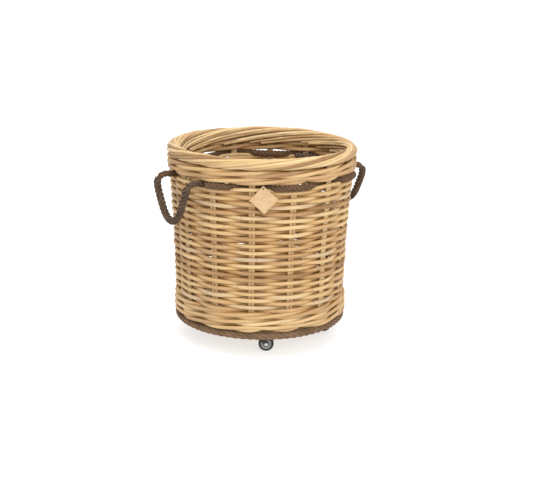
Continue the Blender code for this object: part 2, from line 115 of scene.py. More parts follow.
class Bunch:
    """Tubes in one mesh, with each point's place on its rod, its tone and its depth, which sets
    its painted shade.
    """

    def __init__(self, name, sides=8):
        self.name, self.sides = name, sides
        self.verts, self.local, self.tone, self.dark = [], [], [], []
        self.quads, self.caps = [], []
        self.count = 0

    def add(self, points, radius, out, closed=False, tone=0.5, dark=0.0, wall=False, tall=1.0):
        """A rod along the points. With wall, the sides that face into the weave get painted
        shade, darker the deeper they lie.
        """
        sides, n = self.sides, len(points)
        radius = np.broadcast_to(radius, (n,)).astype(float)
        tangent = heading(points, closed)
        after = np.roll(points, -1, 0) if closed else np.concatenate([points[1:], points[-1:]])
        gaps = np.linalg.norm(after - points, axis=1)
        side = unit(np.cross(tangent, np.broadcast_to(out, points.shape)))
        outward = np.cross(side, tangent)
        turn = 2 * np.pi * np.arange(sides) / sides
        c, s = np.cos(turn), np.sin(turn)
        ring = outward[:, None] * c[None, :, None] + side[:, None] * s[None, :, None]
        swell = ring + side[:, None] * (s * (tall - 1))[None, :, None]
        verts = points[:, None] + swell * radius[:, None, None]
        along = np.concatenate([[0], np.cumsum(gaps)[:-1]]) + rng.uniform(0, 40)
        along = np.repeat(along[:, None], sides, 1)
        local = np.stack([along, radius[:, None] * c, radius[:, None] * s], -1)
        shade = np.broadcast_to(np.asarray(dark, float), (n,))[:, None]
        shade = np.repeat(shade, sides, 1)
        if wall:
            shade = np.maximum(shade, self.crevice(verts, ring))
        start = self.count
        i = np.arange(n if closed else n - 1)
        j = (i + 1) % n
        k = np.arange(sides)
        m = (k + 1) % sides
        a = start + i[:, None] * sides
        b = start + j[:, None] * sides
        quads = np.stack([a + k, a + m, b + m, b + k], -1)
        self.quads.append(quads.reshape(-1, 4))
        if not closed:
            self.caps.append(start + k[::-1])
            self.caps.append(start + (n - 1) * sides + k)
        self.verts.append(verts.reshape(-1, 3))
        self.local.append(local.reshape(-1, 3))
        self.tone.append(np.full(n * sides, tone))
        self.dark.append(shade.reshape(-1))
        self.count += n * sides

    @staticmethod
    def crevice(verts, ring):
        """How deep a rod's surface lies in the weave, seen from the side it faces, as the amount
        of painted shade.
        """
        r = np.hypot(verts[..., 0], verts[..., 1])
        facing = (ring[..., 0] * verts[..., 0] + ring[..., 1] * verts[..., 1]) / r
        z = verts[..., 2]
        outer = outer_radius(z)
        inner = stake_radius(z) - 0.0125
        facing = 0.5 + 0.5 * np.clip(facing * 1.6, -1, 1)
        depth = facing * (outer - r) + (1 - facing) * (r - inner)
        return np.clip((depth - 0.0038) / 0.0165, 0, 1)

    def build(self, material, slot, body, replaced):
        data = bpy.data.meshes.new(self.name)
        verts = np.concatenate(self.verts)
        quads = np.concatenate(self.quads)
        caps = np.array(self.caps, dtype=int).reshape(-1, self.sides)
        loops = np.concatenate([quads.reshape(-1), caps.reshape(-1)])
        cap_starts = len(quads) * 4 + np.arange(len(caps)) * self.sides
        starts = np.concatenate([np.arange(len(quads)) * 4, cap_starts])
        data.vertices.add(len(verts))
        data.vertices.foreach_set("co", verts.astype(np.float32).reshape(-1))
        data.loops.add(len(loops))
        data.loops.foreach_set("vertex_index", loops.astype(np.int32))
        data.polygons.add(len(starts))
        data.polygons.foreach_set("loop_start", starts.astype(np.int32))
        data.update(calc_edges=True)
        data.validate()
        for name, kind, values, key in (
            ("rod", "FLOAT_VECTOR", self.local, "vector"),
            ("tone", "FLOAT", self.tone, "value"),
            ("dark", "FLOAT", self.dark, "value"),
        ):
            layer = data.attributes.new(name, kind, "POINT")
            layer.data.foreach_set(key, np.concatenate(values).astype(np.float32).reshape(-1))
        data.shade_smooth()
        data.set_sharp_from_angle(angle=math.radians(66))
        return placed(self.name, data, material, body, replaced)


def placed(name, data, material, body, replaced):
    """Link a mesh as a piece that rides on a body and stands for CAD nodes."""
    made = bpy.data.objects.new(name, data)
    data.materials.append(material)
    bpy.context.scene.collection.objects.link(made)
    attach(made, body)
    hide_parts(*replaced)
    return made


def drift(theta, size, counts=(3, 7, 11, 19)):
    """A smooth irregularity round the wall."""
    total = np.zeros_like(theta)
    for count in counts:
        total += rng.normal() * np.sin(count * theta + rng.uniform(0, 6.28)) / count**0.4
    return size * total / 2


def uneven(theta, size):
    """An irregularity that changes from stake to stake and between them."""
    values = rng.normal(0.0, size, 2 * STAKES)
    at = 2 * (theta - FIRST) / STEP
    base = np.floor(at).astype(int)
    t = at - base
    t = t * t * (3 - 2 * t)
    return values[base % len(values)] * (1 - t) + values[(base + 1) % len(values)] * t


def through(a, b, c, d, t):
    """The Catmull-Rom curve from b to c."""
    bend = (2 * a - 5 * b + 4 * c - d) * t**2 + (3 * b - a - 3 * c + d) * t**3
    return 0.5 * (2 * b + (c - a) * t + bend)


def smooth(knots, step):
    """Points a step apart on a curve through the knots."""
    knots = np.asarray(knots, float)
    line = np.concatenate([[2 * knots[0] - knots[1]], knots, [2 * knots[-1] - knots[-2]]])
    t = np.linspace(0, 1, 24, endpoint=False)[:, None]
    fine = [through(*four, t) for four in zip(line, line[1:], line[2:], line[3:])]
    return spaced(np.concatenate([*fine, knots[-1:]]), step)


def run_of(points):
    """How far along a line each of its points is."""
    gaps = np.linalg.norm(np.diff(points, axis=0), axis=1)
    return np.concatenate([[0], np.cumsum(gaps)])


def spaced(line, step):
    """The same line with its points evenly spaced."""
    run = run_of(line)
    n = max(3, int(round(run[-1] / step)) + 1)
    at = np.linspace(0, run[-1], n)
    return np.stack([np.interp(at, run, line[:, i]) for i in range(line.shape[1])], -1)


# Materials


class Shader:
    """A Principled material and short calls that add nodes to it."""

    def __init__(self, name, **values):
        self.material = bpy.data.materials.new(name)
        self.material.use_nodes = True
        self.tree = self.material.node_tree
        self.main = self.tree.nodes["Principled BSDF"]
        for key, value in values.items():
            self.main.inputs[key.replace("_", " ")].default_value = value

    def node(self, kind, values=None, **settings):
        made = self.tree.nodes.new(kind)
        for key, value in settings.items():
            setattr(made, key, value)
        for key, value in (values or {}).items():
            self.feed(made.inputs[key], value)
        return made

    def feed(self, socket, value):
        if isinstance(value, bpy.types.NodeSocket):
            self.tree.links.new(value, socket)
        else:
            socket.default_value = value

    def attribute(self, name, vector=False):
        made = self.node("ShaderNodeAttribute", attribute_name=name)
        return made.outputs["Vector" if vector else "Fac"]

    def place(self):
        return self.node("ShaderNodeTexCoord").outputs["Object"]

    def noise(self, vector, scale=1.0, detail=2.0, rough=0.5):
        values = {"Vector": vector, "Scale": scale, "Detail": detail, "Roughness": rough}
        return self.node("ShaderNodeTexNoise", values).outputs["Fac"]

    def grain(self, vector, scale, detail=2.0, rough=0.5):
        """Noise with its own scale along each axis."""
        made = self.node("ShaderNodeVectorMath", {0: vector, 1: scale}, operation="MULTIPLY")
        return self.noise(made.outputs[0], 1.0, detail, rough)

    def maths(self, operation, a, b=0.0, clamp=False):
        made = self.node("ShaderNodeMath", {0: a, 1: b}, operation=operation, use_clamp=clamp)
        return made.outputs[0]

    def ramp(self, factor, stops):
        made = self.node("ShaderNodeValToRGB", {"Fac": factor})
        points = made.color_ramp.elements
        while len(points) < len(stops):
            points.new(0.5)
        for point, (at, colour) in zip(points, stops):
            point.position = at
            point.color = (*colour, 1.0) if isinstance(colour, tuple) else (colour,) * 3 + (1,)
        return made.outputs["Color"]

    def span(self, factor, low, high, to_low=0.0, to_high=1.0):
        values = {"Value": factor, 1: low, 2: high, 3: to_low, 4: to_high}
        return self.node("ShaderNodeMapRange", values).outputs["Result"]

    def mix(self, factor, a, b, blend="MIX"):
        made = self.node("ShaderNodeMix", data_type="RGBA", blend_type=blend)
        self.feed(made.inputs[0], factor)
        for socket, value in ((made.inputs[6], a), (made.inputs[7], b)):
            self.feed(socket, (*value, 1.0) if isinstance(value, tuple) else value)
        return made.outputs[2]

    def finish(self, colour=None, rough=None, height=None, strength=0.5, distance=0.001):
        if colour is not None:
            self.feed(self.main.inputs["Base Color"], colour)
        if rough is not None:
            self.feed(self.main.inputs["Roughness"], rough)
        if height is not None:
            values = {"Strength": strength, "Distance": distance, "Height": height}
            bump = self.node("ShaderNodeBump", values)
            self.feed(self.main.inputs["Normal"], bump.outputs["Normal"])
        return self.material


def cane(name, stops, knots):
    """Peeled rattan: long fibres, faint blotches, a leaf scar every so often."""
    s = Shader(name, Specular_IOR_Level=0.22)
    rod, tone, dark = s.attribute("rod", True), s.attribute("tone"), s.attribute("dark")
    fibre = s.grain(rod, (22.0, 900.0, 900.0), 3.0, 0.6)
    fine = s.grain(rod, (60.0, 2600.0, 2600.0), 2.0)
    blotch = s.grain(rod, (11.0, 60.0, 60.0), 3.0)
    stain = s.noise(s.place(), 9.0, 3.0)
    shade = s.maths("ADD", tone, s.span(blotch, 0.3, 0.7, -0.17, 0.17), clamp=True)
    colour = s.ramp(shade, [(at, tuple(DULL * v for v in rgb)) for at, rgb in stops])
    colour = s.mix(s.span(stain, 0.52, 0.75, 0.0, 0.30), colour, (0.36, 0.24, 0.15))
    colour = s.mix(s.span(fibre, 0.30, 0.52, 0.38, 0.0), colour, (0.22, 0.12, 0.05))
    colour = s.mix(s.span(fine, 0.5, 0.72, 0.0, 0.22), colour, (0.60, 0.47, 0.29))
    along = s.node("ShaderNodeSeparateXYZ", {0: rod}).outputs[0]
    wobble = s.maths("MULTIPLY", s.grain(rod, (1.0, 300.0, 300.0)), 0.004)
    cycle = s.maths("PINGPONG", s.maths("ADD", along, wobble), knots)
    ring = s.span(cycle, 0.0004, 0.0028, 1.0, 0.0)
    colour = s.mix(s.maths("MULTIPLY", ring, 0.32), colour, (0.16, 0.085, 0.035))
    # painted shade: the colour is mixed towards a dark brown where a rod lies deep in the weave
    deep = s.span(dark, 0.0, 1.0, 0.0, 0.85)
    colour = s.mix(deep, colour, PAINTED_CREVICE_SHADE)
    rough = s.span(fibre, 0.2, 0.8, 0.62, 0.46)
    height = s.maths("ADD", fibre, s.maths("MULTIPLY", ring, 0.7))
    return s.finish(colour, rough, height, 0.55, 0.0005)


def rope_fibre(name, low, high, straw, crevice):
    """Twisted bast fibre, dull and hairy, with a few paler strands."""
    s = Shader(name, Specular_IOR_Level=0.15)
    rod, tone, dark = s.attribute("rod", True), s.attribute("tone"), s.attribute("dark")
    fibre = s.grain(rod, (120.0, 2400.0, 2400.0), 3.0, 0.65)
    patch = s.noise(s.place(), 34.0, 3.0)
    shade = s.maths("ADD", tone, s.span(patch, 0.3, 0.7, -0.3, 0.3), clamp=True)
    colour = s.ramp(shade, [(0.0, low), (1.0, high)])
    colour = s.mix(s.span(fibre, 0.5, 0.8, 0.0, 0.5), colour, straw)
    colour = s.mix(s.span(fibre, 0.2, 0.42, 0.6, 0.0), colour, crevice)
    # painted shade: yarns darken towards the crevice colour where they face into the rope
    colour = s.mix(s.span(dark, 0.0, 1.0, 0.0, 0.9), colour, crevice)
    rough = s.span(fibre, 0.2, 0.8, 0.97, 0.78)
    return s.finish(colour, rough, fibre, 0.8, 0.0008)


DULL = 0.75  # darkens every cane colour by the same part
WICKER_STOPS = [(0.0, (0.330, 0.185, 0.080)), (0.16, (0.500, 0.295, 0.135))]
WICKER_STOPS += [(0.36, (0.640, 0.395, 0.185)), (0.58, (0.730, 0.485, 0.225))]
WICKER_STOPS += [(0.80, (0.830, 0.600, 0.310)), (1.0, (0.680, 0.510, 0.330))]
# painted shade colour for rods that lie deep in the weave
PAINTED_CREVICE_SHADE = (0.360, 0.160, 0.024)
wicker = cane("wicker_cane", WICKER_STOPS, 0.26)
STAKE_STOPS = [(0.0, (0.50, 0.31, 0.14)), (0.5, (0.70, 0.46, 0.22)), (1.0, (0.80, 0.58, 0.30))]
stake_cane = cane("stake_cane", STAKE_STOPS, 0.19)
BORDER_STOPS = [(0.0, (0.34, 0.19, 0.08)), (0.3, (0.60, 0.375, 0.175))]
BORDER_STOPS += [(0.6, (0.75, 0.52, 0.25)), (1.0, (0.88, 0.67, 0.38))]
border_cane = cane("border_cane", BORDER_STOPS, 0.31)
BAND_SHADES = [(0.094, 0.052, 0.028), (0.172, 0.102, 0.058), (0.29, 0.19, 0.11)]
band_fibre = rope_fibre("band_rope_fibre", *BAND_SHADES, (0.022, 0.011, 0.006))
HANDLE_SHADES = [(0.066, 0.043, 0.029), (0.134, 0.090, 0.061), (0.235, 0.168, 0.115)]
handle_fibre = rope_fibre("handle_rope_fibre", *HANDLE_SHADES, (0.014, 0.009, 0.007))
FOOT_SHADES = [(0.135, 0.080, 0.045), (0.250, 0.155, 0.090), (0.40, 0.27, 0.165)]
foot_fibre = rope_fibre("foot_rope_fibre", *FOOT_SHADES, (0.035, 0.018, 0.009))


# Weave


def wall_rod(rods, radius, theta, z, size, tone, tall=TALL, closed=False):
    """A rod that lies level in the wall, with painted shade where it lies deep in the weave."""
    line, out = polar(radius, theta, z), polar(1.0, theta, 0.0)
    rods.add(line, size, out, closed=closed, tone=tone, wall=True, tall=tall)


def strand_tone():
    """Most rods are straw coloured, a few much darker or greyer."""
    return float(np.clip(rng.normal(0.55, 0.21), 0.02, 0.98))


def siding_row(number):
    """One rod, in front of every second stake, its two ends inside, one over the other."""
    z0 = ROW_LOW + ROW_PITCH * number
    parity = (number + 1) % 2
    behind = [k for k in range(STAKES) if (k + parity) % 2 == 1]
    home = FIRST + STEP * behind[rng.integers(len(behind))]
    over = 0.016 / 0.23  # how far each end runs on past the other, as an angle
    theta = np.linspace(home - over, home + 2 * np.pi + over, 262)
    start = np.clip(1 - (theta - home) / (0.55 * STEP), 0, 1)
    end = np.clip(1 - (home + 2 * np.pi - theta) / (0.55 * STEP), 0, 1)
    size = ROD * rng.uniform(0.93, 1.06) * (1 + 0.06 * np.cos(theta - home))
    size = size * (1 + uneven(theta, 0.05))
    size = size * (1 - 0.16 * start - 0.16 * end)
    wave = np.cos(np.pi * (theta - FIRST) / STEP) * (1 if parity == 0 else -1)
    z = z0 + drift(theta, 0.0005) + 0.0036 * (end**2 - start**2)
    z = z + uneven(theta, 0.0008) - 0.0004 * (1 - wave)
    swing = ROW_SWING + uneven(theta, 0.0005)
    radius = stake_radius(z) + swing * wave + drift(theta, 0.0003)
    rods = Bunch(f"siding_row_{number + 1:02d}")
    wall_rod(rods, radius, theta, z, size, strand_tone())
    rods.build(wicker, "wicker", "basket", ["siding"])


def band_row(name, first, last, parity):
    """A rod beside the band rope, outside the stakes where the rope is inside."""
    rods = Bunch(name)
    theta = np.linspace(first, last, int((last - first) * 40))
    wave = np.cos(np.pi * (theta - FIRST) / STEP) * parity
    tuck = np.clip(1 - np.minimum(theta - first, last - theta) / 0.09, 0, 1)
    z = 0.4478 - 0.0040 * (1 - np.abs(wave)) + drift(theta, 0.0004)
    swing = SHORT_SWING * wave * (1 - tuck) - 0.0070 * tuck
    wall_rod(rods, stake_radius(z) + swing, theta, z, SHORT_ROD, 0.62)
    rods.build(wicker, "wicker", "basket", ["siding"])


def waling_round(name, z0, height, node, shift):
    """Three rods, each outside two stakes and inside the third."""
    inside = [[0, 3, 6, 9, 12], [1, 4, 7, 10, 13], [2, 5, 8, 11]]
    rods = Bunch(name)
    fine = np.linspace(0, 2 * STAKES, 14 * 20, endpoint=False)
    base = np.floor(fine).astype(int)
    theta = FIRST + (fine / 2 + shift) * STEP

    def round_trip(values):
        v = np.array(values)
        four = [v[(base + k) % len(v)] for k in (-1, 0, 1, 2)]
        return through(*four, fine - base)

    for own in inside:
        # out and up at each stake and halfway to the next
        swing, level = [], []
        for k in range(STAKES):
            since = k - max((i for i in own if i <= k), default=max(own) - STAKES)
            after = min((i for i in own if i > k), default=min(own) + STAKES)
            if since == 0:
                swing += [-1.0, -0.12]
                level += [0.0, -1.12]
            elif k + 1 == after:
                swing += [1.0, -0.12]
                level += [-1.0 if since == 1 else 1.0, 1.12]
            else:
                swing += [1.0, 1.06]
                level += [-1.0, 0.0] if since == 1 else [1.0, 1.0]
        z = z0 + 0.25 * height * round_trip(level)
        z = z + drift(theta, 0.0004) + uneven(theta, 0.0004)
        outer = outer_radius(z) - ROD - 0.0002
        inner = stake_radius(z0) - WALING_DEPTH
        middle, reach = (outer + inner) / 2, (outer - inner) / 2
        radius = middle + reach * round_trip(swing) + drift(theta, 0.0003)
        size = ROD * rng.uniform(0.95, 1.03)
        tone = min(0.98, strand_tone() + 0.05)
        wall_rod(rods, radius, theta, z, size, tone, closed=True)
    rods.build(wicker, "wicker", "basket", [node])


def stake_rods(number):
    """Two rods side by side, from the board's edge up into the border."""
    angle = FIRST + number * STEP
    z = np.linspace(0.0558, 0.4990, 96)
    rods = Bunch(f"stake_rods_{number + 1:02d}", sides=10)
    out = polar(1.0, angle, 0.0)
    along = beside(out)
    radius = stake_radius(z) + 0.0010 * np.clip((z - 0.125) / 0.02, 0, 1)
    for side in (1, -1):
        bend = 0.0004 * np.sin(z * 31 + rng.uniform(0, 6)) + side * 0.0040
        points = polar(radius, angle, z) + bend[:, None] * along
        rods.add(points, STAKE_ROD, out, tone=float(rng.uniform(0.25, 0.95)))
    rods.build(stake_cane, "stake_cane", "basket", [f"stake_{number + 1:02d}"])


def packing(side):
    """Two short rods between the feet of a handle, ends tucked inside."""
    middle = HANDLES[side]
    reach = math.radians(13.6)
    nearest = FIRST + STEP * round((middle - FIRST) / STEP)
    rods = Bunch(f"packing_rods_{side}")
    theta = np.linspace(middle - reach, middle + reach, 44)
    near = np.cos(np.pi * np.clip((theta - nearest) / STEP, -0.75, 0.75))
    tuck = np.clip((np.abs(theta - middle) - 0.62 * reach) / (0.38 * reach), 0, 1)
    for facing, z0 in ((1, 0.4465), (-1, 0.4560)):
        swing = facing * SHORT_SWING * near * (1 - tuck) - 0.0062 * tuck
        z = z0 + drift(theta, 0.0004)
        wall_rod(rods, stake_radius(z) + swing, theta, z, SHORT_ROD, 0.78, tall=1.0)
    rods.build(wicker, "wicker", "basket", [f"packing_rows_{side}"])


def rim_core():
    """Three hidden rods that fill the rolled rim."""
    core = Bunch("rim_core")
    theta = np.linspace(0, 2 * np.pi, 160, endpoint=False)
    for dr, dz in ((0.0036, 0.003), (-0.0036, 0.003), (0.0, -0.0035)):
        line = polar(RIM_LINE + dr, theta, RIM_Z - 0.0005 + dz + drift(theta, 0.0004))
        # painted shade: the hidden core rods are darkened
        core.add(line, 0.0040, polar(1, theta, 0), closed=True, tone=0.25, dark=0.5)
    core.build(border_cane, "wicker", "basket", ["rim_border"])


def border():
    """Bundles of two rods that sweep up over the rim and down a little inside it."""
    rim_core()
    rods = Bunch("rim_border_rods")
    first, turn_in = math.radians(-92), math.radians(196)
    climb = math.radians(320) / 4.7  # round the rim's section, for each stake passed
    count, down_count = 72, 25
    for bundle in range(STAKES):
        proud = rng.uniform(-0.0010, 0.0010)
        lean = rng.uniform(-0.10, 0.10)
        for rod in range(2):
            start = first + rng.uniform(-0.10, 0.10)
            over = np.linspace(start, turn_in, count)
            low = 0.4830 + rng.uniform(-0.006, 0.008)
            # a rod starts deep under its neighbours
            full = 1 - 0.40 * np.clip((math.radians(-52) - over) / 0.70, 0, 1) ** 1.3
            wob = 1 + proud / 0.012 + 0.05 * np.sin(2.3 * over + rng.uniform(0, 6))
            wob = wob + 0.045 * np.sin(6.1 * over + rng.uniform(0, 6))
            r = RIM_LINE + RIM_ACROSS * full * wob * np.cos(over)
            z = RIM_Z + RIM_UP * full * wob * np.sin(over)
            # past the crest it runs on down the inside of the wall
            down = np.linspace(z[-1], low, down_count + 1)[1:]
            inside = 0.0158 + 0.0014 * np.sin(down * 300 + rng.uniform(0, 6))
            ease = np.clip((z[-1] - down) / 0.010, 0, 1)
            rd = r[-1] * (1 - ease) + (stake_radius(down) - inside) * ease
            slope = climb * (1 + rng.uniform(-0.045, 0.045))
            travel = (over + math.radians(70)) / slope
            more = travel[-1] + (z[-1] - down) / 0.0120 / slope
            travel = np.concatenate([travel, more])
            theta = FIRST + STEP * (bundle - 0.4 + 0.5 * rod + travel)
            theta = theta + 0.022 * np.sin(travel * 1.7 + rng.uniform(0, 6)) + lean * STEP
            points = polar(np.concatenate([r, rd]), theta, np.concatenate([z, down]))
            size = RIM_ROD * rng.uniform(0.86, 1.12)
            size = size * (1 - 0.22 * np.clip((travel - travel[-1] + 1.2) / 1.2, 0, 1))
            levels = np.concatenate([np.full(count, RIM_Z), down])
            away = unit(points - polar(RIM_LINE, theta, levels) + 1e-9)
            away[count:] = -polar(1.0, theta[count:], 0.0)
            # painted shade: a rod is darker where it lies under its neighbours, and none is
            # painted on its run down inside
            shade = np.concatenate([1.5 * (1 - full), np.zeros(down_count)])
            tone = float(np.clip(rng.normal(0.52, 0.27), 0.02, 1))
            rods.add(points, size, away, tone=tone, dark=np.clip(shade, 0, 0.7))
    rods.build(border_cane, "wicker", "basket", ["rim_border"])


# Ropes


def carried(points, first):
    """Directions across a line, carried along it without twisting."""
    out = np.empty_like(points)
    v = np.asarray(first, float)
    for i, t in enumerate(heading(points)):
        v = v - t * np.dot(v, t)
        v = v / np.linalg.norm(v)
        out[i] = v
    return out


# strand and place are parts of the rope's radius. ring, yarn and core are parts of the strand's.
# Painted shade: the sides of the yarns that face into their strand, and the core yarn hidden in
# it, are darkened by these amounts.
HARD_LAY = {"strand": 0.44, "place": 0.56, "ring": 0.66, "yarn": 0.36, "core": 0.42}
HARD_LAY |= {"core_shade": 0.5, "groove_shade": 0.35, "dark": 0.05, "tones": 0.22}
SOFT_LAY = {"strand": 0.50, "place": 0.50, "ring": 0.62, "yarn": 0.38, "core": 0.44}
SOFT_LAY |= {"core_shade": 0.3, "groove_shade": 0.22, "dark": 0.0, "tones": 0.18}


def lay(rods, line, out, turns, spins, radius, kind, full=1.0, closed=False):
    """Four strands of seven yarns each, laid round a line."""
    tangent = heading(line, closed)
    side = np.cross(tangent, out)
    full = np.broadcast_to(full, (len(line),))
    strand_r = kind["strand"] * radius
    for strand in range(4):
        turn = 2 * np.pi * (turns + strand / 4)
        away = out * np.cos(turn)[:, None] + side * np.sin(turn)[:, None]
        middle = line + away * (kind["place"] * radius * full)[:, None]
        # the strand's own frame leans with its lay
        lean = unit(np.cross(tangent, away))
        for yarn in range(7):
            # painted shade on the core yarn and on each yarn's side that faces into the strand
            if yarn == 6:
                path, fat, dark = middle, kind["core"], kind["core_shade"]
            else:
                spin = 2 * np.pi * (-spins + yarn / 6)
                off = away * np.cos(spin)[:, None] + lean * np.sin(spin)[:, None]
                path = middle + off * (strand_r * kind["ring"] * full)[:, None]
                inner = -np.einsum("ij,ij->i", off, away)
                fat, dark = kind["yarn"], np.clip(kind["groove_shade"] * inner + kind["dark"], 0, 1)
            tone = float(np.clip(rng.normal(0.5, kind["tones"]), 0, 1))
            size = strand_r * fat * (0.25 + 0.75 * full)
            rods.add(path, size, away, closed=closed, tone=tone, dark=dark)


def open_rope(name, line, across, begun, radius, taper):
    """A hard-laid rope with tapered ends. Its lay starts as if a length begun came before."""
    run = run_of(line)
    near = np.clip(1 - np.minimum(run, run[-1] - run) / taper, 0, 1)
    full = np.sqrt(np.maximum(1 - near * near, 0.0)) * 0.97 + 0.03
    rods = Bunch(name, sides=6)
    run = run + begun
    turns, spins = run / LAY_PITCH, run / (LAY_PITCH * 0.55)
    lay(rods, line, carried(line, across), turns, spins, radius, HARD_LAY, full)
    return rods


def local_frame(side):
    out = polar(1.0, HANDLES[side], 0.0)
    along = beside(out)
    return polar(CHORD, HANDLES[side], BAND_Z), along, out


def in_frame(side, points):
    origin, along, out = local_frame(side)
    p = np.asarray(points, float).reshape(-1, 3)
    return origin + p[:, :1] * along + p[:, 1:2] * out + p[:, 2:] * np.array([0, 0, 1.0])


def band_radius(angle):
    wave = np.cos(np.pi * (angle - FIRST) / STEP)
    return BAND_LINE - BAND_SWING * wave * (1.5 - 0.5 * wave * wave)


def stub(side, end):
    """From the gap out to the handle's pivot."""
    knots = [(0.0690, 0.0050, 0.0), (0.0705, 0.0170, 0.0014), (0.0716, 0.0290, 0.0008)]
    knots.append((PIVOT[0], PIVOT[1] - 0.0095, PIVOT[2] + 0.0025))
    return in_frame(side, [(end * u, v, w) for u, v, w in knots])


def band_knots(from_side, to_side, turn):
    start = HANDLES[from_side] + FOOT + math.radians(3.4)
    end = HANDLES[to_side] - FOOT - math.radians(5.2) + turn
    angle = start + (end - start) * np.arange(37) / 36
    radius = band_radius(angle if turn == 0 else angle - np.pi)
    foot = HANDLES[to_side] - FOOT
    bend = [(0.2246, foot - math.radians(2.6)), (0.2325, foot - math.radians(0.9))]
    bend = [polar(*at, BAND_Z) for at in bend]
    return np.concatenate([polar(radius, angle, BAND_Z), bend, stub(to_side, -1)])


def tail_knots(side):
    foot = HANDLES[side] + FOOT
    number = math.ceil((foot - FIRST) / STEP)
    behind = FIRST + number * STEP
    inner = BAND_LINE - 0.004 - HANDLE_ROPE - 0.0008
    knots = [(inner, behind + math.radians(6.5)), (inner, behind + math.radians(2.5))]
    knots.append((inner + 0.0002, behind - math.radians(1.5)))
    knots.append((inner + 0.0042, (behind + foot) / 2 - math.radians(0.4)))
    knots.append((BAND_LINE, foot))
    return np.concatenate([[polar(*at, BAND_Z) for at in knots], stub(side, 1)])


# half of a hand loop, from its bend to its lowest point
HANDLE_HALF = [(0.0713, 0.0442, -0.0085), (0.0700, 0.0472, -0.0170), (0.0655, 0.0485, -0.0300)]
HANDLE_HALF += [(0.0555, 0.0485, -0.0500), (0.0400, 0.0478, -0.0790)]
HANDLE_HALF += [(0.0225, 0.0475, -0.0975), (0.0, 0.0478, -0.1050)]


def handle_knots(side):
    half = np.array(HANDLE_HALF)
    mirrored = half[:-1][::-1] * (-1, 1, 1)
    line = np.concatenate([half, mirrored]) * (-1, 1, 1)
    return in_frame(side, line)


def extended(line, head, tail, step):
    """The line with straight runs added at its ends."""
    first, last = unit(line[0] - line[1]), unit(line[-1] - line[-2])
    parts = []
    if head:
        n = max(2, int(head / step))
        parts.append(line[0] + first * np.linspace(head, step, n)[:, None])
    parts.append(line)
    if tail:
        n = max(2, int(tail / step))
        parts.append(line[-1] + last * np.linspace(step, tail, n)[:, None])
    return np.concatenate(parts)


def hand_loop(side, begun):
    """The loop that swings."""
    handle = smooth(handle_knots(side), LAY_STEP)
    line = extended(handle, 0.65 * HANDLE_ROPE, 0.65 * HANDLE_ROPE, LAY_STEP)
    out = polar(1.0, HANDLES[side], 0.0)
    loop = open_rope(f"handle_rope_{side}_lay", line, out, begun, HANDLE_FULL, HANDLE_ROPE)
    made = loop.build(handle_fibre, "rope", f"handle_{side}", [f"handle_rope_{side}"])
    line = line[::4] if (len(line) - 1) % 4 == 0 else np.concatenate([line[::4], line[-1:]])


def build_ropes():
    up, taper, hidden = (0, 0, 1), 0.008, 0.006
    for rope, from_side, to_side, turn in (
        ("front", "left", "right", 0.0),
        ("back", "right", "left", 2 * math.pi),
    ):
        line = smooth(band_knots(from_side, to_side, turn), LAY_STEP)
        line = extended(line, 0.0, hidden, LAY_STEP)
        rods = open_rope(f"band_rope_{rope}_lay", line, up, 0.0, BAND_ROPE, taper)
        rods.build(band_fibre, "rope", "basket", [f"band_rope_{rope}"])
        hand_loop(to_side, run_of(line)[-1])
        line = extended(smooth(tail_knots(to_side), LAY_STEP), 0.0, hidden, LAY_STEP)
        rods = open_rope(f"rope_tail_{to_side}_lay", line, up, 0.0, HANDLE_ROPE, taper)
        rods.build(handle_fibre, "rope", "basket", [f"rope_tail_{to_side}"])
    theta = np.linspace(0, 2 * np.pi, FOOT_POINTS, endpoint=False)
    line, out = polar(FOOT_LINE, theta, FOOT_Z), polar(1.0, theta, 0.0)
    # whole numbers of turns close the rope and its yarns
    turns = round(2 * np.pi * FOOT_LINE / FOOT_PITCH) * theta / (2 * np.pi)
    rods = Bunch("foot_rope_lay", sides=6)
    lay(rods, line, out, turns, 2 * turns, FOOT_ROPE, SOFT_LAY, closed=True)
    rods.build(foot_fibre, "foot_rope", "basket", ["foot_rope"])


def build_wall():
    for number in range(ROWS):
        siding_row(number)
    band_row("band_row_front", math.radians(-33), math.radians(99), 1)
    band_row("band_row_back", math.radians(146), math.radians(279), -1)
    for k in range(LOW_ROUNDS):
        level = LOW_WALING + LOW_ROUND * k
        waling_round(f"lower_waling_round_{k + 1}", level, LOW_ROUND, "lower_waling", 4 * k + 1)
    for k in range(TOP_ROUNDS):
        level = TOP_WALING + TOP_ROUND * k
        waling_round(f"upper_waling_round_{k + 1}", level, TOP_ROUND, "upper_waling", 5 * k + 2)
    for number in range(STAKES):
        stake_rods(number)
    for side in HANDLES:
        packing(side)
    border()


build_wall()
build_ropes()


# Solid parts: floor board, casters and tag


def solid(name, verts, faces, material, slot, body, replaced, bevel=0.0):
    """A piece from points and faces, its edges rounded a little."""
    data = bpy.data.meshes.new(name)
    shape = bmesh.new()
    made = [shape.verts.new(v) for v in verts]
    for face in faces:
        shape.faces.new([made[i] for i in face])
    bmesh.ops.remove_doubles(shape, verts=shape.verts, dist=1e-6)
    bmesh.ops.dissolve_degenerate(shape, edges=shape.edges, dist=1e-6)
    bmesh.ops.recalc_face_normals(shape, faces=shape.faces)
    if bevel:
        edges = [e for e in shape.edges if len(e.link_faces) == 2]
        sharp = [e for e in edges if e.calc_face_angle(0) > math.radians(50)]
        how = {"offset": bevel, "segments": 2, "affect": "EDGES", "clamp_overlap": True}
        bmesh.ops.bevel(shape, geom=sharp, **how)
    shape.to_mesh(data)
    shape.free()
    data.shade_smooth()
    data.set_sharp_from_angle(angle=math.radians(35))
    return placed(name, data, material, body, replaced)


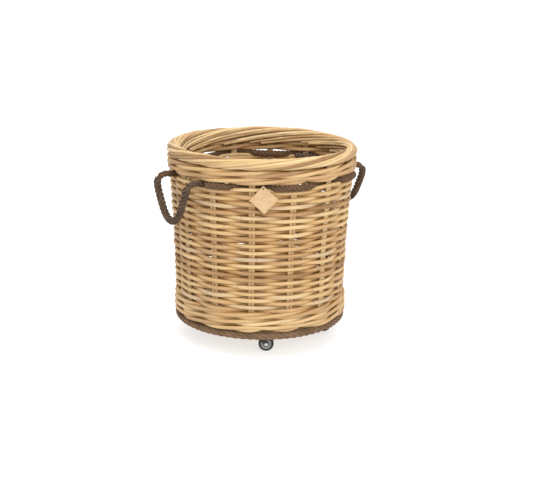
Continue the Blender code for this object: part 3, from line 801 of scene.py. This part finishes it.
def turned(profile, steps, axis, origin):
    """Points and faces of a closed outline of (radius, height) turned about an axis."""
    profile = np.asarray(profile, float)
    turn = 2 * np.pi * np.arange(steps) / steps
    r, h = profile[:, 0], profile[:, 1]
    x = r[None] * np.cos(turn)[:, None]
    y = r[None] * np.sin(turn)[:, None]
    z = np.repeat(h[None], steps, 0)
    grid = np.stack([x, y, z] if axis == "z" else [x, z, y], -1) + np.asarray(origin)
    n = len(profile)
    faces = []
    for i in range(steps):
        j = (i + 1) % steps
        for k in range(n):
            m = (k + 1) % n
            if r[k] < 1e-9 and r[m] < 1e-9:
                continue
            a, b, c, d = i * n + k, i * n + m, j * n + m, j * n + k
            if r[k] < 1e-9:
                faces.append((a, b, c))
            elif r[m] < 1e-9:
                faces.append((a, b, d))
            else:
                faces.append((a, b, c, d))
    return grid.reshape(-1, 3).tolist(), faces


def joined(*parts):
    verts, faces = [], []
    for v, f in parts:
        start = len(verts)
        verts += list(v)
        faces += [tuple(i + start for i in face) for face in f]
    return verts, faces


def rounded(points, radius, steps=5):
    """A (radius, height) outline with its corners rounded."""
    points = [Vector(p) for p in points]
    out = []
    n = len(points)
    for i, p in enumerate(points):
        a, b = points[i - 1] - p, points[(i + 1) % n] - p
        cut = min(radius, 0.45 * a.length, 0.45 * b.length)
        first, last = p + a.normalized() * cut, p + b.normalized() * cut
        for k in range(steps + 1):
            t = k / steps
            out.append(tuple((1 - t) ** 2 * first + 2 * t * (1 - t) * p + t * t * last))
    return out


def slab(outline, low, high, axis="z", holes=()):
    """A plate with the outline, between two levels along an axis, with round holes."""
    loops = [outline, *holes]
    flat = [[Vector((x, y, 0)) for x, y in loop] for loop in loops]
    triangles = tessellate_polygon(flat)
    points = [p for loop in loops for p in loop]
    n = len(points)

    def lift_to(p, level):
        return (p[0], p[1], level) if axis == "z" else (p[0], level, p[1])

    verts = [lift_to(p, low) for p in points] + [lift_to(p, high) for p in points]
    faces = [tuple(t) for t in triangles] + [tuple(i + n for i in t) for t in triangles]
    start = 0
    for loop in loops:
        for i in range(len(loop)):
            j = (i + 1) % len(loop)
            faces.append((start + i, start + j, start + j + n, start + i + n))
        start += len(loop)
    return verts, faces


def ring(x, y, radius, steps=28):
    turn = [2 * math.pi * k / steps for k in range(steps)]
    return [(x + radius * math.cos(t), y + radius * math.sin(t)) for t in turn]


def metal(name, colour, rough, metallic, wear, worn):
    """Plated or painted steel with fine scratches and dulled patches."""
    s = Shader(name, Metallic=metallic)
    place = s.place()
    cloud = s.noise(place, 90.0, 3.0)
    fine = s.grain(place, (1400.0, 260.0, 1400.0), 2.0)
    chip = s.noise(place, 420.0, 4.0, 0.6)
    bright = tuple(min(1.0, v * 1.3) for v in colour)
    base = s.mix(s.span(cloud, 0.35, 0.65), colour, bright)
    base = s.mix(s.span(chip, 0.66, 0.72, 0.0, wear), base, worn)
    roughness = s.span(cloud, 0.3, 0.7, rough * 0.8, rough * 1.3)
    return s.finish(base, roughness, fine, 0.25, 0.0001)


def moulded(name, colour, dusty, rough, grain):
    """Moulded plastic or rubber with a fine grain and settled dust."""
    s = Shader(name, Specular_IOR_Level=0.35)
    place = s.place()
    dust = s.noise(place, 160.0, 4.0, 0.6)
    fine = s.noise(place, grain, 2.0)
    base = s.mix(s.span(dust, 0.45, 0.75, 0.0, 0.55), colour, dusty)
    roughness = s.span(fine, 0.3, 0.7, rough - 0.08, rough + 0.1)
    return s.finish(base, roughness, fine, 0.3, 0.0002)


def wood():
    """Plywood: a birch face with long grain, the layers showing at the edge."""
    s = Shader("plywood_face", Specular_IOR_Level=0.3)
    place = s.place()
    warp = s.grain(place, (3.0, 30.0, 3.0), 3.0)
    grain = s.grain(place, (9.0, 210.0, 9.0), 4.0, 0.6)
    rings = s.maths("SINE", s.maths("MULTIPLY", s.maths("ADD", warp, grain), 24.0))
    birch = [(0.0, (0.36, 0.235, 0.125)), (0.6, (0.46, 0.32, 0.18)), (1.0, (0.52, 0.37, 0.22))]
    colour = s.ramp(s.span(rings, -1.0, 1.0), birch)
    pores = s.grain(place, (60.0, 1500.0, 60.0), 2.0)
    colour = s.mix(s.span(pores, 0.56, 0.68, 0.0, 0.5), colour, (0.20, 0.12, 0.06))
    height = s.node("ShaderNodeSeparateXYZ", {0: place}).outputs[2]
    layers = s.maths("SINE", s.maths("MULTIPLY", height, 2 * math.pi / 0.0036))
    edge = s.ramp(s.span(layers, -1, 1), [(0.35, (0.20, 0.12, 0.06)), (0.6, (0.47, 0.33, 0.19))])
    up = s.node("ShaderNodeSeparateXYZ", {0: s.node("ShaderNodeNewGeometry").outputs["Normal"]})
    flat = s.span(s.maths("ABSOLUTE", up.outputs[2]), 0.4, 0.6)
    colour = s.mix(flat, edge, colour)
    return s.finish(colour, s.span(grain, 0.3, 0.7, 0.5, 0.68), grain, 0.3, 0.0004)


def card():
    """Kraft board with flecks and fibres."""
    s = Shader("kraft_card", Specular_IOR_Level=0.2)
    place = s.place()
    fibre = s.grain(place, (500.0, 500.0, 1300.0), 3.0)
    fleck = s.noise(place, 900.0, 3.0, 0.7)
    cloud = s.noise(place, 60.0, 2.0)
    colour = s.ramp(cloud, [(0.3, (0.47, 0.315, 0.175)), (0.7, (0.54, 0.375, 0.215))])
    colour = s.mix(s.span(fibre, 0.5, 0.7, 0.0, 0.35), colour, (0.66, 0.48, 0.29))
    colour = s.mix(s.span(fleck, 0.64, 0.72, 0.0, 0.7), colour, (0.26, 0.15, 0.075))
    return s.finish(colour, s.span(cloud, 0.3, 0.7, 0.8, 0.92), fibre, 0.35, 0.0003)


zinc = metal("zinc_plate", (0.50, 0.50, 0.51), 0.34, 1.0, 0.5, (0.30, 0.29, 0.27))
black_steel = metal("black_steel", (0.020, 0.020, 0.022), 0.42, 0.3, 0.6, (0.16, 0.15, 0.14))
grey_plastic = moulded("grey_plastic", (0.36, 0.36, 0.355), (0.45, 0.43, 0.39), 0.45, 900.0)
tyre_rubber = moulded("tyre_rubber", (0.017, 0.017, 0.019), (0.10, 0.09, 0.08), 0.68, 1500.0)

CASTERS = {"front": 0, "right": 90, "back": 180, "left": 270}
CASTER_RING, TRAIL, AXLE_Z = 0.1580, 0.0180, 0.0200
BOARD_LOW, GAP = 0.0540, 0.0003
YOKE_LOW, YOKE_TOP, FORK_HALF, FORK_METAL = 0.0478, 0.0498, 0.0130, 0.0015


def caster(where, degrees):
    name = f"caster_{where}"
    centre = Vector(polar(CASTER_RING, math.radians(degrees), 0.0))
    x0, y0 = centre.x, centre.y
    low = BOARD_LOW - GAP - 0.0020
    wheel = (x0 + TRAIL, y0, AXLE_Z)
    # plate with the swivel's upper race and the kingpin
    outline = []
    for side, first in ((1, -90), (-1, 90)):
        for k in range(25):
            t = math.radians(first + 7.5 * k)
            outline.append((x0 + side * 0.011 + 0.014 * math.cos(t), y0 + 0.014 * math.sin(t)))
    places = [(x0 - 0.019, y0), (x0 + 0.019, y0)]
    plate = slab(outline, low, BOARD_LOW - GAP, "z", [ring(*at, 0.0018) for at in places])
    race = [(0.0, low + 0.0002), (0.0116, low + 0.0002), (0.0112, low - 0.0010)]
    race += [(0.0098, YOKE_TOP + GAP), (0.0, YOKE_TOP + GAP)]
    pin = [(0.0, low), (0.0040, low), (0.0040, YOKE_LOW - GAP), (0.0064, YOKE_LOW - GAP)]
    pin += [(0.0064, YOKE_LOW - 0.0012), (0.0054, YOKE_LOW - 0.0022)]
    pin += [(0.0034, YOKE_LOW - 0.0027), (0.0, YOKE_LOW - 0.0029)]
    parts = joined(plate, turned(race, 48, "z", centre), turned(pin, 32, "z", centre))
    solid(f"{name}_mount", *parts, zinc, "zinc", "basket", [f"{name}_plate"], 0.0004)
    for number, at in enumerate(places, 1):
        screw(f"{name}_pan_screw_{number}", at, low - GAP, f"{name}_screw_{number}")
    # fork: two pressed legs and a yoke
    legs = []
    for side in (1, -1):
        lower = [
            (x0 + TRAIL + 0.0064 * math.cos(t), AXLE_Z + 0.0064 * math.sin(t))
            for t in np.radians(np.linspace(38, -190, 22))
        ]
        upper = [(x0 - 0.0124, YOKE_LOW - 0.002), (x0 - 0.0118, YOKE_TOP)]
        upper += [(x0 + 0.0140, YOKE_TOP), (x0 + 0.0148, YOKE_LOW - 0.002)]
        curve = [(x0 + 0.0186, 0.0360), (x0 + 0.0222, 0.0275)]
        levels = sorted((y0 + side * FORK_HALF, y0 + side * (FORK_HALF - FORK_METAL)))
        hole = ring(x0 + TRAIL, AXLE_Z, 0.0033, 24)
        legs.append(slab(upper + curve + lower, *levels, "y", [hole]))
    inner = FORK_HALF - 0.0002
    yoke = [(x0 - 0.0118, y0 - inner), (x0 + 0.0140, y0 - inner)]
    yoke += [(x0 + 0.0140, y0 + inner), (x0 - 0.0118, y0 + inner)]
    hole = ring(x0, y0, 0.0045, 32)
    yoke = slab(yoke, YOKE_LOW, YOKE_TOP, "z", [hole])
    parts, body = joined(*legs, yoke), f"swivel_{where}"
    fork = [f"{name}_fork"]
    solid(f"{name}_pressed_fork", *parts, black_steel, "black_steel", body, fork, 0.00035)
    side = FORK_HALF + GAP
    dome = [(0.0, side + 0.0020), (0.0022, side + 0.0018), (0.0038, side + 0.0011)]
    dome += [(0.0047, side + 0.0002), (0.0047, side - 0.0002), (0.0030, side - 0.0002)]
    rivet = dome + [(r, -h) for r, h in reversed(dome)]
    parts = turned(rivet, 36, "y", wheel)
    solid(f"{name}_rivet", *parts, zinc, "zinc", body, [f"{name}_axle"])
    # hub with a rim, a recessed web with ribs, and a boss
    boss = FORK_HALF - FORK_METAL - GAP
    face = [(0.0034, boss), (0.0056, boss), (0.0060, boss - 0.0004), (0.0066, 0.0058)]
    face += [(0.0074, 0.0050), (0.0085, 0.0050), (0.0098, 0.0050), (0.0108, 0.0052)]
    face += [(0.0113, 0.0062), (0.0117, 0.0082), (0.0121, 0.0085), (0.0135, 0.0085)]
    outline = face + [(r, -h) for r, h in reversed(face)]
    verts, faces = turned(outline, 90, "y", wheel)
    ribbed = []
    for x, y, z in verts:
        r = math.hypot(x - wheel[0], z - wheel[2])
        if 0.0070 < r < 0.0112:
            turn = math.atan2(z - wheel[2], x - wheel[0])
            rib = max(0.0, math.cos(5 * turn) - 0.86) / 0.14
            y += math.copysign(0.0016 * rib**0.5, y - wheel[1])
        ribbed.append((x, y, z))
    body, hub = f"wheel_{where}", [f"{name}_hub"]
    solid(f"{name}_wheel_hub", ribbed, faces, grey_plastic, "grey_plastic", body, hub)
    tread = [(0.0138, -0.0085), (0.0176, -0.0085), (0.0199, -0.0062), (0.0200, 0.0)]
    tread += [(0.0199, 0.0062), (0.0176, 0.0085), (0.0138, 0.0085)]
    parts = turned(rounded(tread, 0.0016), 72, "y", wheel)
    tyre = [f"{name}_tyre"]
    solid(f"{name}_wheel_tyre", *parts, tyre_rubber, "caster_tyre", body, tyre)


def screw(name, at, top, node):
    """A pan head with a cross recess, and its shank."""
    steps, rows = 48, 9
    verts, faces = [], []
    for k in range(rows):
        r = 0.0031 * k / (rows - 1)
        z = top - 0.0016 + 0.0011 * (k / (rows - 1)) ** 3
        for i in range(steps):
            t = 2 * math.pi * i / steps
            x, y = r * math.cos(t), r * math.sin(t)
            thin = min(abs(x), abs(y))
            cut = thin < 0.00042 and r < 0.0019
            verts.append((at[0] + x, at[1] + y, z + (0.0009 if cut else 0.0)))
    outline = [(0.0031, top - 0.0001), (0.0014, top), (0.0014, top + 0.0120), (0.0, top + 0.0128)]
    for r, z in outline:
        verts += [(x, y, z) for x, y in ring(*at, r, steps)]
    for k in range(rows + len(outline) - 1):
        for i in range(steps):
            j = (i + 1) % steps
            a, b = k * steps, (k + 1) * steps
            faces.append((a + i, a + j, b + j, b + i))
    solid(name, verts, faces, zinc, "zinc", "basket", [node])


def tag():
    """A square of kraft board hung by one corner, a little bowed."""
    half, drop, tilt, corner = 0.025, 0.0070, math.radians(3.0), 0.0014
    hole_at = (half - drop / math.sqrt(2), half - drop / math.sqrt(2))
    middle = half - corner
    outline = []
    for cx, cy, first in ((1, 1, 0), (-1, 1, 90), (-1, -1, 180), (1, -1, 270)):
        for k in range(6):
            t = math.radians(first + 18 * k)
            x, y = corner * math.cos(t), corner * math.sin(t)
            outline.append((cx * middle + x, cy * middle + y))
    hole = ring(*hole_at, 0.0025, 24)
    verts, faces = slab(outline, -0.0008, 0.0008, "z", [hole])
    washer = slab(ring(*hole_at, 0.0042, 32), 0.0007, 0.00105, "z", [ring(*hole_at, 0.0026, 32)])
    out = polar(1.0, TAG_ANGLE, 0.0)
    along = beside(out)
    pin = polar(TAG_PIN, TAG_ANGLE, TAG_Z)

    def put(points):
        made = []
        for x, y, z in points:
            x, y = x - hole_at[0], y - hole_at[1]
            turn = math.radians(45) + tilt
            u = x * math.cos(turn) - y * math.sin(turn)
            w = x * math.sin(turn) + y * math.cos(turn)
            bow = 0.0007 * math.sin(u / 0.02) + 0.0009 * (w / 0.05) ** 2
            made.append(tuple(pin + along * u + out * (z + bow) + np.array([0, 0, w])))
        return made

    shape = bmesh.new()
    for points, tris in ((verts, faces), washer):
        held = [shape.verts.new(p) for p in points]
        for face in tris:
            shape.faces.new([held[i] for i in face])
    bmesh.ops.recalc_face_normals(shape, faces=shape.faces)
    for _ in range(3):
        long = [e for e in shape.edges if e.calc_length() > 0.006]
        bmesh.ops.subdivide_edges(shape, edges=long, cuts=1)
    bmesh.ops.triangulate(shape, faces=shape.faces)
    for v, co in zip(shape.verts, put([tuple(v.co) for v in shape.verts])):
        v.co = co
    data = bpy.data.meshes.new("tag_card")
    shape.to_mesh(data)
    shape.free()
    data.shade_smooth()
    data.set_sharp_from_angle(angle=math.radians(40))
    placed("tag_card", data, card(), "tag", ["tag"])


def tag_twine():
    """Two-ply twine through the tag's hole, round the band rope and knotted."""
    rope = band_radius(TAG_ANGLE)
    turns = np.radians(np.arange(48, 313, 22))
    loop = [(rope + 0.0093 * math.cos(t), BAND_Z + 0.0089 * math.sin(t)) for t in turns]
    front = [(-0.0060, -0.0013), (-0.0010, -0.0009), (0.0019, 0.0)]
    front += [(-0.0010, 0.0009), (-0.0060, 0.0013)]
    loop += [(TAG_PIN + a, TAG_Z + b) for a, b in front]
    knots = np.array([polar(r, TAG_ANGLE, z) for r, z in loop + loop[:1]])
    line = smooth(knots, 0.0007)[:-1]
    low, high = (0.26, 0.19, 0.11), (0.36, 0.27, 0.16)
    straw, crevice = (0.5, 0.4, 0.26), (0.1, 0.06, 0.03)
    rods = Bunch("tag_twine", sides=6)
    across = polar(1.0, TAG_ANGLE + math.pi / 2, 0.0)
    out, up = polar(1.0, TAG_ANGLE, 0.0), np.array([0, 0, 1.0])
    side = unit(np.cross(unit(np.roll(line, -1, 0) - line), across))
    run = np.arange(len(line)) * 2 * np.pi * 24 / len(line)
    for ply in (0, np.pi):
        away = across * np.cos(run + ply)[:, None] + side * np.sin(run + ply)[:, None]
        rods.add(line + away * 0.00026, 0.00028, away, closed=True, tone=0.5)
    knot_at = polar(0.2462, TAG_ANGLE, TAG_Z)
    t = np.linspace(0, 2 * np.pi, 60, endpoint=False)[:, None]
    trefoil = knot_at + across * 0.0011 * (np.sin(t) + 2 * np.sin(2 * t)) / 2
    trefoil = trefoil + up * 0.0011 * (np.cos(t) - 2 * np.cos(2 * t)) / 2
    rods.add(trefoil - out * 0.0009 * np.sin(3 * t), 0.00042, out, closed=True, tone=0.4)
    k = np.arange(10)[:, None] / 9
    for way in (1, -1):
        end = knot_at + across * way * (0.001 + 0.011 * k) - up * (0.0006 + 0.007 * k**2)
        rods.add(end + out * 0.0022 * np.sin(3 * k), 0.00038, up, tone=0.6)
    fibre = rope_fibre("tag_twine_fibre", low, high, straw, crevice)
    rods.build(fibre, "twine", "basket", ["tag_string"])


def board():
    """The plywood disc keeps its CAD shape."""
    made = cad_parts["base_board"]
    made.data.materials.clear()
    made.data.materials.append(wood())


board()
for where, degrees in CASTERS.items():
    caster(where, degrees)
tag()
tag_twine()


# Stage, lights and camera


def stage():
    floor_paint = Shader("floor_paint", Roughness=0.9, Emission_Strength=0.62)
    floor_paint.main.inputs["Emission Color"].default_value = (1, 1, 1, 1)
    grain = floor_paint.noise(floor_paint.place(), 3.0)
    floor_paint.finish(
        floor_paint.ramp(grain, [(0.3, (0.42, 0.42, 0.42)), (0.7, (0.46, 0.46, 0.46))])
    )
    data = bpy.data.meshes.new("floor")
    size = 5.0
    corners = [(-size, -size, 0), (size, -size, 0), (size, size, 0), (-size, size, 0)]
    data.from_pydata(corners, [], [(0, 1, 2, 3)])
    data.materials.append(floor_paint.material)
    floor = bpy.data.objects.new("floor", data)
    bpy.context.scene.collection.objects.link(floor)


def lamp(name, place, aim, size, power, colour=(1, 1, 1)):
    data = bpy.data.lights.new(name, "AREA")
    data.shape = "DISK"
    data.size = size
    data.energy = power
    data.color = colour
    made = bpy.data.objects.new(name, data)
    made.location = place
    made.rotation_euler = (Vector(aim) - Vector(place)).to_track_quat("-Z", "Y").to_euler()
    bpy.context.scene.collection.objects.link(made)


def camera():
    yaw, pitch, roll = -0.00535, 0.27624, 0.016496
    level = Vector((math.cos(yaw), math.sin(yaw), 0))
    ahead = Vector((-math.sin(yaw), math.cos(yaw), 0))
    look = math.cos(pitch) * ahead - math.sin(pitch) * Vector((0, 0, 1))
    above = math.sin(pitch) * ahead + math.cos(pitch) * Vector((0, 0, 1))
    right = math.cos(roll) * level + math.sin(roll) * above
    up = math.cos(roll) * above - math.sin(roll) * level
    data = bpy.data.cameras.new("camera")
    data.sensor_width = 36.0
    data.lens = 77.92
    made = bpy.data.objects.new("camera", data)
    turn = Matrix((right, up, -look)).transposed().to_4x4()
    made.matrix_world = Matrix.Translation((0, -3.0, 1.0745)) @ turn
    bpy.context.scene.collection.objects.link(made)
    bpy.context.scene.camera = made


stage()
lamp("key", (1.0, -2.9, 1.9), (0, 0, 0.3), 1.6, 49, (1.0, 0.98, 0.94))
lamp("fill", (-2.4, -1.6, 1.5), (0, 0, 0.3), 2.4, 3)
lamp("top", (0.0, -0.4, 3.0), (0, 0, 0.4), 2.2, 48)
world = bpy.data.worlds.new("studio")
world.use_nodes = True
background = world.node_tree.nodes["Background"].inputs
background["Color"].default_value = (1, 1, 1, 1)
background["Strength"].default_value = 1.0
bpy.context.scene.world = world
bpy.context.scene.view_settings.view_transform = "Standard"
camera()
